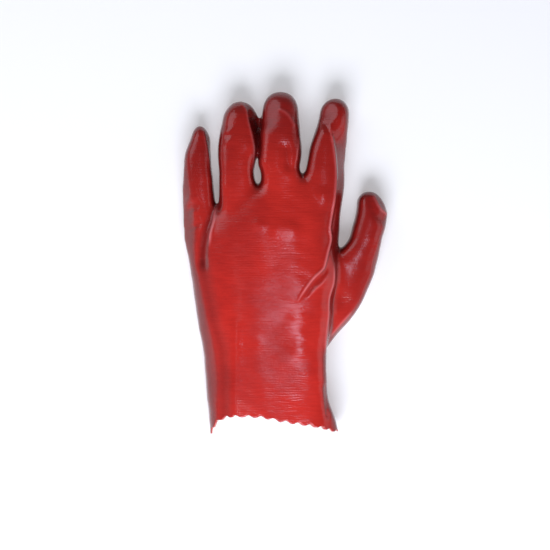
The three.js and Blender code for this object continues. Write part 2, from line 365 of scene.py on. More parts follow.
@dataclass(frozen=True)
class Digit:
    """A finger or the thumb.

    Its fork's place on the body is given as shares of the body's width and length, and it leans towards the
    thumb by degrees. squares is how square its sections are at the shares of its length in squares_at, and
    waists is how far up they are widest on the left and the right.
    """

    name: str
    length: float
    width: float
    depth: float
    fork_across: float
    fork_up: float
    lean: float
    tip: float
    sections: Table
    squares: tuple[float, float] = (4.2, 2.7)
    squares_at: tuple[float, float] = (0.1, 0.95)
    square_below: float = 2.6
    waists: tuple[float, float] = (0.4, 0.36)

    def corners(self, up: Array) -> Corners:
        """The corners of the digit's sections at shares of its length above its fork.

        Args:
            up: the sections' places.

        Returns:
            Their squareness and waists.
        """
        root, tip = self.squares
        square = root + (tip - root) * smoothstep(up, *self.squares_at)
        return Corners(square, square, self.square_below, *self.waists)


SECTION_COLUMNS = ("up", "left", "right", "low", "high")

LITTLE = Table(
    SECTION_COLUMNS,
    (
        (-0.6, -0.45, 0.4, 0.2, 0.95),
        (-0.3, -0.57, 0.52, 0.05, 1.08),
        (0.0, -0.615, 0.545, -0.02, 1.12),
        (0.151, -0.618, 0.51, -0.02, 1.12),
        (0.302, -0.587, 0.479, 0.0, 1.1),
        (0.453, -0.56, 0.422, 0.03, 1.08),
        (0.604, -0.545, 0.401, 0.04, 1.04),
        (0.72, -0.46, 0.375, 0.03, 0.99),
        (0.83, -0.345, 0.37, 0.02, 0.94),
        (1.0, -0.28, 0.24, 0.0, 0.86),
    ),
)
RING = Table(
    SECTION_COLUMNS,
    (
        (-0.5, -0.4, 0.44, 0.2, 1.1),
        (-0.25, -0.44, 0.55, 0.08, 1.24),
        (-0.1, -0.45, 0.56, 0.04, 1.24),
        (0.0, -0.465, 0.54, 0.03, 1.24),
        (0.096, -0.48, 0.5, 0.04, 1.22),
        (0.2, -0.49, 0.43, 0.05, 1.2),
        (0.3, -0.505, 0.42, 0.06, 1.18),
        (0.4, -0.55, 0.455, 0.07, 1.15),
        (0.48, -0.553, 0.56, 0.07, 1.13),
        (0.57, -0.545, 0.6, 0.07, 1.11),
        (0.67, -0.515, 0.59, 0.05, 1.07),
        (0.798, -0.455, 0.5, 0.02, 1.01),
        (0.9, -0.425, 0.44, 0.0, 0.95),
        (1.0, -0.42, 0.42, -0.01, 0.88),
    ),
)
MIDDLE = Table(
    SECTION_COLUMNS,
    (
        (-0.56, -0.4, 0.44, 0.2, 1.1),
        (-0.28, -0.49, 0.53, 0.08, 1.24),
        (-0.06, -0.5, 0.555, 0.04, 1.24),
        (0.0, -0.485, 0.549, 0.03, 1.24),
        (0.078, -0.48, 0.498, 0.04, 1.22),
        (0.144, -0.53, 0.462, 0.05, 1.21),
        (0.278, -0.525, 0.515, 0.06, 1.19),
        (0.411, -0.505, 0.486, 0.07, 1.16),
        (0.544, -0.505, 0.456, 0.07, 1.13),
        (0.678, -0.49, 0.43, 0.05, 1.08),
        (0.811, -0.475, 0.405, 0.02, 1.01),
        (1.0, -0.45, 0.385, -0.01, 0.88),
    ),
)
INDEX = Table(
    SECTION_COLUMNS,
    (
        (-0.6, -0.42, 0.42, 0.2, 1.05),
        (-0.3, -0.5, 0.58, 0.08, 1.2),
        (-0.114, -0.532, 0.6, 0.05, 1.22),
        (0.0, -0.552, 0.566, 0.04, 1.22),
        (0.114, -0.519, 0.532, 0.05, 1.2),
        (0.266, -0.51, 0.514, 0.06, 1.18),
        (0.418, -0.474, 0.496, 0.07, 1.15),
        (0.57, -0.411, 0.48, 0.06, 1.11),
        (0.722, -0.36, 0.465, 0.03, 1.05),
        (0.85, -0.36, 0.44, 0.01, 0.98),
        (1.0, -0.37, 0.4, -0.01, 0.9),
    ),
)
THUMB = Table(
    SECTION_COLUMNS,
    (
        (-1.78, -1.38, -0.9, 0.1, 0.48),
        (-1.5, -1.45, -0.556, -0.02, 0.68),
        (-1.293, -1.45, -0.257, -0.04, 0.78),
        (-1.086, -1.42, -0.017, -0.04, 0.85),
        (-0.879, -1.35, 0.162, -0.04, 0.9),
        (-0.672, -1.28, 0.281, -0.04, 0.94),
        (-0.466, -1.18, 0.401, -0.03, 0.97),
        (-0.259, -1.0, 0.46, -0.02, 0.99),
        (-0.052, -0.74, 0.519, 0.0, 1.0),
        (0.155, -0.45, 0.55, 0.02, 1.0),
        (0.362, -0.385, 0.637, 0.03, 0.99),
        (0.569, -0.32, 0.666, 0.03, 0.97),
        (0.72, -0.3, 0.59, 0.02, 0.94),
        (0.85, -0.32, 0.48, 0.0, 0.91),
        (1.0, -0.34, 0.4, -0.01, 0.87),
    ),
)
BODY = Table(
    ("up", "left", "right", "low", "high", "square_left", "square_right", "waist_left", "waist_right"),
    (
        (-0.12, -0.45, 0.64, -0.05, 0.84, 2.4, 4.2, 0.12, 0.38),
        (0.0, -0.465, 0.607, -0.05, 0.87, 2.4, 4.2, 0.12, 0.4),
        (0.068, -0.478, 0.58, -0.05, 0.89, 2.4, 4.4, 0.12, 0.42),
        (0.116, -0.486, 0.543, -0.05, 0.91, 2.4, 4.6, 0.12, 0.42),
        (0.163, -0.494, 0.514, -0.05, 0.93, 2.4, 5.0, 0.12, 0.42),
        (0.235, -0.503, 0.501, -0.05, 0.95, 2.4, 5.5, 0.12, 0.42),
        (0.355, -0.527, 0.503, -0.05, 0.96, 2.4, 5.0, 0.12, 0.42),
        (0.427, -0.56, 0.53, -0.05, 0.97, 2.4, 4.5, 0.13, 0.42),
        (0.546, -0.594, 0.56, -0.05, 0.99, 2.4, 4.5, 0.16, 0.42),
        (0.642, -0.622, 0.595, -0.05, 1.0, 2.3, 4.0, 0.2, 0.42),
        (0.762, -0.66, 0.603, -0.03, 0.99, 2.1, 3.2, 0.27, 0.42),
        (0.857, -0.689, 0.615, 0.0, 0.96, 1.95, 3.0, 0.33, 0.42),
        (0.929, -0.693, 0.64, 0.04, 0.9, 1.85, 2.8, 0.38, 0.42),
        (1.0, -0.693, 0.65, 0.08, 0.82, 1.85, 2.8, 0.4, 0.42),
    ),
)
WEB_LINE = Table(
    ("across", "up"),
    ((-0.75, 0.9), (-0.403, 0.922), (-0.06, 1.0), (0.313, 1.035), (0.75, 1.03)),
)
RIM_SHAPE = Table(
    ("across", "rise"),
    (
        (0.0, 0.1), (0.03, 0.45), (0.075, 0.75), (0.13, 0.93), (0.25, 1.0),
        (0.42, 0.95), (0.56, 0.78), (0.75, 0.62), (0.9, 0.46), (1.0, 0.3),
    ),
)


def digits() -> tuple[Digit, ...]:
    """The five digits, from the little finger to the thumb.

    Returns:
        Their sizes.
    """
    return (
        Digit("little", 62.1, 22.0, 23.0, -0.55, 0.929, 0.5, 10.5, LITTLE),
        Digit("ring", 73.5, 30.0, 26.0, -0.238, 0.965, 2.4, 12.8, RING),
        Digit("middle", 70.3, 32.0, 26.5, 0.123, 1.021, 0.95, 13.2, MIDDLE),
        Digit("index", 61.7, 29.0, 26.0, 0.483, 1.037, 7.9, 12.0, INDEX),
        Digit("thumb", 45.3, 26.0, 25.0, 0.806, 0.75, 4.9, 10.0, THUMB, (2.8, 2.4)),
    )


@dataclass(frozen=True)
class Nearest:
    """What a line is like at its nearest place to each of many points.

    It says how far the place is, whether the point is to the line's right, how far along it is, and its further
    columns there.
    """

    distance: Array
    right: Array
    run: Array
    columns: Array


@dataclass(frozen=True)
class Line:
    """A smooth line seen from above, given by rows of x, y and any further columns that change along it."""

    rows: Rows
    step: float = 2.5

    def fine(self) -> tuple[Array, Array]:
        """The line's rows about a step apart on the smooth curve through the given ones, and their runs.

        Returns:
            The rows, and the run at each.
        """
        given = np.array(self.rows)
        run = np.concatenate([[0.0], np.cumsum(np.linalg.norm(np.diff(given[:, :2], axis=0), axis=1))])
        at = np.linspace(0.0, run[-1], max(int(run[-1] / self.step), 1) + 1)
        names = tuple(str(k) for k in range(given.shape[1]))
        table = Table(("run", *names), tuple(map(tuple, np.column_stack([run, given]).tolist())))
        return np.stack([table.at(name, at) for name in names], axis=1), at

    def near(self, places: Array, reach: float) -> Array:
        """Which places lie within reach of the line's box.

        Args:
            places: n by 2, seen from above.
            reach: how far from the box counts.

        Returns:
            The numbers of the places that do.
        """
        given = np.array(self.rows)[:, :2]
        inside = (places > given.min(axis=0) - reach) & (places < given.max(axis=0) + reach)
        return np.flatnonzero(inside.all(axis=1))

    def nearest(self, places: Array) -> Nearest:
        """The line's nearest place to each of places, over all its straight steps at once.

        Args:
            places: n by 2, seen from above.

        Returns:
            What the line is like there, its columns read straight between its rows.
        """
        rows, runs = self.fine()
        starts, spans = rows[:-1, :2], np.diff(rows[:, :2], axis=0)
        lengths = np.linalg.norm(spans, axis=1)
        offset = places[:, None, :] - starts[None, :, :]
        share = np.clip((offset * spans).sum(-1) / lengths**2, 0.0, 1.0)
        distance = np.linalg.norm(offset - share[..., None] * spans, axis=-1)
        k = distance.argmin(axis=1)
        n = np.arange(len(places))
        share, offset = share[n, k], offset[n, k]
        turn = spans[k, 0] * offset[:, 1] - spans[k, 1] * offset[:, 0]
        columns = rows[k, 2:] + share[:, None] * (rows[k + 1, 2:] - rows[k, 2:])
        return Nearest(distance[n, k], -np.sign(turn), runs[k] + share * lengths[k], columns)

    def length(self) -> float:
        """The line's length."""
        return float(self.fine()[1][-1])


@dataclass(frozen=True)
class Mark:
    """A ridge, a groove or a dent in the coated wall, along a line of places seen from above.

    width is where it has all but gone, and a height below zero goes in. taper is how far from its ends it
    fades, down to what a fade that ends MARK_END tapers beyond them leaves. It is read as far as MARK_REACH
    widths round the line's box.
    """

    line: Rows
    width: float
    height: float
    taper: float = 0.0

    def add_to(self, lift: Array, places: Array) -> None:
        """Add the mark to the lift at places.

        Its rise is the height times exp(-2 (d / width)^2), where d is the distance to its line.

        Args:
            lift: how far each place is lifted, changed in place.
            places: n by 2, seen from above.
        """
        line = Line(self.line)
        close = line.near(places, MARK_REACH * self.width)
        near = line.nearest(places[close])
        rise = self.height * np.exp(-2.0 * (near.distance / self.width) ** 2)
        if self.taper:
            end = np.minimum(near.run, line.length() - near.run)
            rise = rise * smoothstep(end, -MARK_END * self.taper, self.taper)
        lift[close] += rise


class Side(Enum):
    """Which side of its line a facet falls to, going along the line."""

    LEFT = -1.0
    RIGHT = 1.0


@dataclass(frozen=True)
class Facet:
    """A flat side wall that falls away from a seam.

    Its line's rows are x, y, the seam's height and the wall's slope.
    """

    rows: Rows
    side: Side
    taper: float = 14.0
    foot: float = 10.0
    softness: float = 0.6
    reach: float = 40.0

    def lower(self, points: Array) -> None:
        """Bring down the points beyond the seam that stand above the wall's plane.

        The plane's height is the seam's, less its slope times the distance beyond it, down to the foot, where
        the form's own side goes on. The new height is the soft minimum -k log(exp(-z / k) + exp(-plane / k)),
        with k the softness.

        Args:
            points: n by 3, changed in place.
        """
        line = Line(self.rows)
        close = line.near(points[:, :2], self.reach)
        near = line.nearest(points[close, :2])
        beyond = near.distance * near.right * self.side.value
        plane = np.maximum(near.columns[:, 0] - near.columns[:, 1] * beyond, self.foot)
        z, k = points[close, 2], self.softness
        soft = np.minimum(z, plane) - k * np.log1p(np.exp(-np.abs(z - plane) / k))
        share = smoothstep(np.minimum(near.run, line.length() - near.run), 0.0, self.taper)
        points[close, 2] = z + (soft - z) * share


def facets() -> dict[str, tuple[Facet, ...]]:
    """The flat side walls of each form.

    Returns:
        The walls by the form's name.
    """
    right_wall = (
        (49.0, 250.0, 23.0, 1.9), (52.2, 228.0, 27.5, 2.0), (54.2, 207.1, 31.0, 2.1),
        (53.4, 187.6, 33.5, 2.1), (51.0, 172.7, 35.0, 2.1), (49.8, 158.0, 35.5, 2.3),
        (49.5, 145.0, 35.5, 2.6), (52.4, 130.0, 35.5, 2.4), (51.8, 118.0, 35.0, 2.2),
        (49.2, 107.0, 34.5, 2.2), (48.4, 93.0, 34.0, 2.2), (46.8, 77.8, 33.0, 2.4), (46.0, 60.0, 32.5, 2.6),
    )
    left_wall = (
        (-62.5, 228.0, 20.5, 1.3), (-60.5, 212.0, 23.0, 1.35), (-58.5, 198.0, 25.0, 1.4),
        (-55.0, 186.0, 27.0, 1.4), (-52.0, 174.0, 29.0, 1.4), (-51.0, 160.0, 31.0, 1.5),
        (-50.0, 140.7, 32.5, 1.7), (-46.7, 121.1, 33.0, 1.7), (-40.4, 91.4, 33.0, 1.5),
        (-34.9, 71.9, 32.5, 1.3), (-32.6, 52.4, 32.0, 1.25), (-31.8, 23.4, 31.5, 1.25),
        (-31.0, 0.0, 31.0, 1.3), (-31.0, -20.0, 31.0, 1.3),
    )
    flap = (
        (49.2, 46.0, 32.5, 1.6), (48.5, 32.0, 32.0, 1.1), (48.0, 18.0, 31.0, 1.0), (46.5, -12.0, 30.0, 1.0),
    )
    little_wall = (
        (-50.5, 246.0, 19.0, 2.0), (-47.5, 232.0, 22.0, 2.6), (-43.5, 212.6, 25.0, 3.0),
        (-40.4, 193.0, 26.0, 3.0), (-38.5, 184.0, 26.0, 3.0),
    )
    ring_wall = (
        (-20.1, 262.0, 23.0, 1.6), (-15.4, 254.8, 25.5, 2.0), (-13.1, 243.8, 27.5, 2.6),
        (-10.7, 233.7, 29.0, 2.4), (-9.1, 223.5, 30.0, 2.6), (-9.4, 205.5, 31.0, 2.6),
    )
    middle_wall = (
        (26.6, 240.0, 29.0, 3.0), (25.6, 228.0, 29.5, 2.2), (23.7, 213.4, 30.5, 2.2),
        (24.5, 205.0, 31.0, 3.0),
    )
    thumb_wall = (
        (86.0, 150.0, 21.0, 2.0), (84.0, 140.0, 21.0, 2.0), (78.0, 115.0, 21.0, 2.0),
        (67.8, 98.5, 20.0, 2.0), (58.1, 87.5, 18.0, 2.0), (50.2, 77.8, 16.0, 2.0),
    )
    thumb_tip = (
        (81.5, 192.0, 18.0, 1.0), (84.5, 187.2, 19.5, 1.0), (89.3, 178.2, 20.5, 1.1),
        (95.2, 171.5, 17.0, 1.2),
    )
    middle_tip = (
        (4.0, 266.0, 22.0, 0.55), (5.5, 256.0, 24.5, 0.55), (4.5, 246.0, 26.5, 0.6),
        (0.0, 240.0, 27.0, 0.6),
    )
    index_tip = (
        (51.0, 262.0, 20.5, 0.55), (51.0, 254.0, 22.5, 0.55), (48.5, 246.0, 24.5, 0.6),
        (42.0, 240.0, 25.0, 0.6),
    )
    return {
        "body": (Facet(right_wall, Side.LEFT), Facet(left_wall, Side.RIGHT), Facet(flap, Side.LEFT, 9.0)),
        "little": (Facet(left_wall, Side.RIGHT, 12.0), Facet(little_wall, Side.LEFT)),
        "ring": (Facet(ring_wall, Side.LEFT),),
        "middle": (Facet(middle_wall, Side.LEFT, 8.0), Facet(middle_tip, Side.RIGHT, 5.0)),
        "index": (Facet(right_wall, Side.LEFT, 42.0), Facet(index_tip, Side.RIGHT, 5.0)),
        "thumb": (Facet(thumb_wall, Side.LEFT), Facet(thumb_tip, Side.LEFT, 5.0)),
    }


@dataclass
class HandForm:
    """The outside of the glove as the former gives it, before it is softened and folded."""

    body_length: float = 196.0
    body_width: float = 94.4
    body_depth: float = 38.0
    square_below: float = 3.2
    web_rounding: float = 8.0
    webs_start: float = 0.7
    least_web: float = 0.05
    least_tip: float = 0.02
    crowding: float = 1.15
    below_cuff: float = -0.04
    body_rows: int = 200
    digit_rows: int = 120
    around: int = 192
    digits: tuple[Digit, ...] = field(default_factory=digits)
    facets: dict[str, tuple[Facet, ...]] = field(default_factory=facets)

    @staticmethod
    def kept(distance: Array, radius: float) -> Array:
        """How much of its section a form keeps at a distance from its end: a quarter of a circle."""
        left = 1.0 - np.clip(distance / radius, 0.0, 1.0)
        return np.sqrt(np.maximum(1.0 - left * left, 0.0))

    def places(self, rows: int, start: float, end: float) -> Array:
        """Rows from start to end that crowd towards the end, as the sine of a quarter turn does."""
        return start + (end - start) * np.sin(np.linspace(0.0, math.pi / 2, rows)) ** self.crowding

    @staticmethod
    def drawn_in(low: Array, high: Array, keep: Array) -> tuple[Array, Array]:
        """Two edges brought towards their middle, down to a share of their distance."""
        middle = (low + high) / 2
        return middle + (low - middle) * keep, middle + (high - middle) * keep

    def body_corners(self, up: Array) -> Corners:
        """The corners of the body's sections.

        Args:
            up: the sections' places as shares of the body's length.

        Returns:
            Their squareness and waists.
        """
        names = ("square_left", "square_right", "waist_left", "waist_right")
        left, right, *waists = (BODY.at(name, up) for name in names)
        return Corners(left, right, self.square_below, *waists)

    def body_section(self, up: Array, around: int) -> Array:
        """The body's whole sections at shares of its length, as rows by points by (x, z)."""
        edges = BODY.edges(up, self.body_width, self.body_depth)
        return section_grid(*edges, self.body_corners(up), around)

    def body(self) -> Solid:
        """Hand and cuff: sections along Y, drawn in over the last stretch, whose end follows the webs'
        line.

        Returns:
            The closed solid.
        """
        y = self.places(self.body_rows, self.below_cuff * self.body_length, self.body_length)
        up = y / self.body_length
        keep = np.maximum(self.kept(self.body_length - y, self.web_rounding), self.least_web)
        corner = self.web_rounding * (1.0 - keep)
        left, right, low, high = BODY.edges(up, self.body_width, self.body_depth)
        low, high = self.drawn_in(low, high, keep)
        grid = section_grid(left + corner, right - corner, low, high, self.body_corners(up), self.around)
        slant = smoothstep(up, self.webs_start, 1.0)[:, None]
        web = WEB_LINE.at("up", grid[..., 0] / self.body_width)
        along = y[:, None] + (web - 1.0) * self.body_length * slant
        return Solid.skinned(np.stack([grid[..., 0], along, grid[..., 1]], axis=-1))

    def digit(self, size: Digit) -> Solid:
        """One digit: sections along its leaning axis, drawn in evenly to a round tip.

        Args:
            size: its sizes.

        Returns:
            The closed solid.
        """
        y = self.places(self.digit_rows, size.sections.rows[0][0] * size.length, size.length)
        up = y / size.length
        keep = np.maximum(self.kept(size.length - y, size.tip), self.least_tip)
        left, right, low, high = size.sections.edges(up, size.width, size.depth)
        edges = (*self.drawn_in(left, right, keep), *self.drawn_in(low, high, keep))
        grid = section_grid(*edges, size.corners(up), self.around)
        x = size.fork_across * self.body_width + y * math.tan(math.radians(size.lean))
        along = np.broadcast_to((size.fork_up * self.body_length + y)[:, None], grid.shape[:2])
        return Solid.skinned(np.stack([x[:, None] + grid[..., 0], along, grid[..., 1]], axis=-1))

    def whole(self) -> Solid:
        """The body and the digits in one mesh, overlapping.

        Returns:
            The joined solid, its side walls flattened.
        """
        forms = {"body": self.body()} | {size.name: self.digit(size) for size in self.digits}
        for name, solid in forms.items():
            for facet in self.facets.get(name, ()):
                facet.lower(solid.vertices)
        return Solid.joined(list(forms.values()))


def marks() -> tuple[Mark, ...]:
    """The seams, creases and dents of the back of the glove.

    Returns:
        The marks, whose rises are added up.
    """
    seam = (
        (49.5, 243.0), (52.2, 226.6), (54.2, 207.1), (53.4, 187.6), (51.0, 172.7), (49.5, 162.6),
        (50.3, 154.0), (48.3, 145.4), (45.6, 134.4), (44.4, 131.3), (36.6, 123.5), (28.8, 112.9),
        (24.9, 106.3),
    )
    edge = ((53.1, 135.2), (52.6, 120.7), (49.2, 109.0), (48.7, 95.3), (46.8, 77.8), (45.9, 64.1))
    wall = (
        (-49.8, 140.7), (-46.7, 121.1), (-40.4, 91.4), (-34.9, 71.9), (-32.6, 52.4), (-31.8, 23.4),
        (-31.0, 10.0),
    )
    ring_seam = ((-20.1, 261.0), (-15.4, 254.8), (-13.1, 243.8), (-10.7, 233.7), (-9.1, 223.5), (-9.9, 205.5))
    return (
        Mark(seam, 1.8, 0.9, 12.0),
        Mark(((47.9, 126.6), (44.0, 120.5), (38.5, 115.7), (32.7, 109.0)), 1.8, 0.6, 8.0),
        Mark(((49.5, 135.0), (44.5, 126.5), (36.0, 117.5), (28.5, 108.5)), 3.2, -0.8, 10.0),
        Mark(edge, 1.8, 0.7, 10.0),
        Mark(((-36.7, 181.3), (-38.8, 177.4), (-40.4, 168.0), (-42.7, 158.6), (-43.5, 149.3)), 2.6, 1.0, 8.0),
        Mark(((-36.0, 184.0), (-43.5, 168.0), (-48.0, 150.0), (-49.0, 128.0)), 5.0, -2.0, 10.0),
        Mark(ring_seam, 1.7, 0.6, 5.0),
        Mark(((-49.0, 241.5), (-43.5, 212.6), (-40.4, 193.0)), 1.7, 0.5, 5.0),
        Mark(((26.8, 236.0), (23.7, 213.4)), 1.8, 0.5, 4.0),
        Mark(((84.5, 187.2), (89.3, 178.2), (95.2, 173.5)), 2.6, 0.8),
        Mark(((81.0, 184.0), (85.0, 175.0), (91.0, 169.5)), 5.0, -1.2),
        Mark(((67.8, 98.5), (58.1, 87.5), (50.2, 77.8)), 2.2, 0.5, 5.0),
        Mark(wall, 7.5, -1.0, 8.0),
        Mark(((-23.0, 96.0), (-24.0, 60.0), (-25.5, 12.0)), 8.8, 1.2, 22.0),
        Mark(((47.1, 40.0), (48.3, 18.0)), 3.0, -1.0),
        Mark(((-32.5, 235.0), (-28.0, 238.5), (-23.5, 241.5)), 3.2, 0.5, 5.0),
        Mark(((-32.5, 227.0), (-29.0, 230.0), (-26.0, 233.0)), 3.2, 0.5, 5.0),
        Mark(((-33.0, 231.5), (-27.0, 236.0)), 3.6, -0.4, 4.0),
        Mark(((11.2, 254.8), (17.0, 251.0), (22.1, 243.0)), 2.6, 0.5),
        Mark(((15.5, 224.0), (17.0, 211.0)), 6.0, -1.2),
        Mark(((46.0, 243.8), (50.0, 236.0)), 3.0, -0.6),
        Mark(((-58.0, 184.5), (-54.0, 176.0)), 8.0, -1.1, 4.0),
        Mark(((-56.0, 168.0), (-53.0, 162.0)), 7.0, -0.8, 4.0),
        Mark(((-58.5, 189.5), (-61.0, 183.0), (-62.5, 176.5)), 3.4, 0.6, 4.0),
        Mark(((45.0, 187.0), (46.2, 182.5)), 8.5, 1.25),
        Mark(((9.0, 162.0), (21.0, 160.5)), 9.0, 1.15),
        Mark(((-6.0, 165.0), (-3.0, 164.5)), 6.0, 0.8),
        Mark(((0.0, 92.0), (12.0, 78.0), (20.0, 60.0)), 22.0, -0.55, 16.0),
        Mark(((14.0, 96.0), (24.0, 80.0), (33.0, 60.0)), 20.0, 0.6, 16.0),
        Mark(((64.0, 116.0), (58.0, 106.0), (51.0, 95.0)), 16.0, -1.2, 14.0),
    )


@dataclass
class Relief:
    """What the wall does on the small scale: seams, creases, dents and a slow unevenness."""

    marks: tuple[Mark, ...] = field(default_factory=marks)
    # painted shade on the ring finger's wall beside the middle finger, which it touches
    shaded: tuple[Mark, ...] = (
        Mark(((-12.5, 252.0), (-6.8, 236.0), (-6.0, 224.0), (-7.5, 212.0)), 6.0, 1.3, 6.0),
    )
    fuller: tuple[Mark, ...] = (Mark(((-5.0, 208.0), (-4.6, 242.0)), 8.0, 0.9, 6.0),)
    narrow: float = 3.0
    widened: float = 2.0
    beside: float = 0.45
    top: float = 0.6
    # how much painted shade the marks that go in put in their creases
    crease_shade: float = 0.35
    unevenness: float = 0.28
    waves: int = 14
    longest: float = 60.0
    shortest: float = 11.0
    falloff: float = 0.6
    seed: int = 5

    @staticmethod
    def total(marks: Sequence[Mark], places: Array) -> Array:
        """The sum of the marks' rises at places seen from above.

        Args:
            marks: what to add up.
            places: n by 2, seen from above.

        Returns:
            The rise at each place.
        """
        lift = np.zeros(len(places))
        for mark in marks:
            mark.add_to(lift, places)
        return lift

    def lift(self, places: Array) -> Array:
        """How far all the marks lift the places seen from above."""
        return self.total(self.marks, places)

    def crisp(self, places: Array) -> Array:
        """Which places lie on or right beside a narrow mark."""
        wider = [Mark(m.line, self.widened * m.width, 1.0) for m in self.marks if m.width < self.narrow]
        return self.total(wider, places) > self.beside

    def ridges(self, places: Array) -> Array:
        """How much a place lies on the very top of a narrow mark that stands up, from 0 to about 1."""
        high = [m for m in self.marks if m.width < self.narrow and m.height > 0.0]
        return self.total([Mark(m.line, self.top * m.width, m.height, m.taper) for m in high], places)

    def valleys(self, places: Array) -> Array:
        """How shaded a place is: where marks go in, and on the walls between fingers that touch."""
        low = [m for m in self.marks if m.height < 0.0]
        return self.total(self.shaded, places) - self.crease_shade * self.total(low, places)

    def swell(self, points: Array) -> Array:
        """A slow unevenness: a sum of sine waves in directions, lengths and phases drawn from a seeded table.

        Args:
            points: n by 3.

        Returns:
            The swell at each point, about the unevenness in height.
        """
        draw = np.random.default_rng(self.seed)
        directions = draw.normal(size=(self.waves, 3))
        directions /= np.linalg.norm(directions, axis=1, keepdims=True)
        lengths = np.geomspace(self.shortest, self.longest, self.waves)
        phases = draw.uniform(0.0, 2.0 * math.pi, self.waves)
        waves = np.sin(points @ (directions * (2.0 * math.pi / lengths[:, None])).T + phases)
        heights = (lengths / self.longest) ** self.falloff
        return self.unevenness * (waves * heights).sum(axis=1) / math.sqrt(self.waves)


@dataclass
class PinkedEdge:
    """The cut edge of the cuff: a line that rises from the corners, and the scallops of pinking shears."""

    rise: float = 17.5
    pitch: float = 9.4
    depth: float = 1.9
    set_back: float = 2.6
    palm_height: tuple[float, float] = (1.0, 5.0)
    palm_corners: tuple[float, float] = (0.09, 0.94)
    reach_in: float = 0.3
    reach_out: float = 1.6
    points_per_scallop: int = 16
    outline_points: int = 2000

    def waste(self, form: HandForm) -> Solid:
        """The solid that the shears take off: all below the cut edge.

        The edge's height at a point of the cuff's section is the line's rise there, plus half the depth times
        the cosine of its run along the section in scallops, plus the set-back of the palm's layer. The ring is
        carried straight in and out.

        Args:
            form: whose first whole section gives the cuff's outline.

        Returns:
            The closed cutter.
        """
        fine = form.body_section(np.array([0.0]), self.outline_points)[0]
        closed = np.vstack([fine, fine[:1]])
        run = np.concatenate([[0.0], np.cumsum(np.linalg.norm(np.diff(closed, axis=0), axis=1))])
        scallops = round(run[-1] / self.pitch)
        count = scallops * self.points_per_scallop
        at = np.arange(count) * run[-1] / count
        loop = np.stack([np.interp(at, run, closed[:, k]) for k in range(2)], axis=1)
        left, right = loop[:, 0].min(), loop[:, 0].max()
        across = np.clip((loop[:, 0] - left) / (right - left), 0.0, 1.0)
        wave = np.cos(2.0 * math.pi * np.arange(count) / self.points_per_scallop) / 2
        palm = 1.0 - smoothstep(loop[:, 1], *self.palm_height)
        top_rise = RIM_SHAPE.at("rise", across)
        palm_rise = RIM_SHAPE.at("rise", np.clip(across, *self.palm_corners))
        rise = (top_rise + (palm_rise - top_rise) * palm) * self.rise
        height = rise + self.depth * wave + self.set_back * palm
        middle = (loop.max(axis=0) + loop.min(axis=0)) / 2
        below = BODY.rows[0][0] * 2 * form.body_length

        def ring(scale: float, level: Array) -> Array:
            """The loop at a scale about its middle."""
            at = middle + (loop - middle) * scale
            return np.stack([at[:, 0], np.broadcast_to(level, at[:, 0].shape), at[:, 1]], axis=1)

        near, far, bottom = self.reach_in, self.reach_out, np.array(below)
        rings = [ring(near, bottom), ring(far, bottom), ring(far, height), ring(near, height)]
        return Solid.skinned(np.stack(rings))


class Face(Enum):
    """The kinds of face that the wall shows, by material slot."""

    COATING = 0
    LINING = 1
    CUT = 2


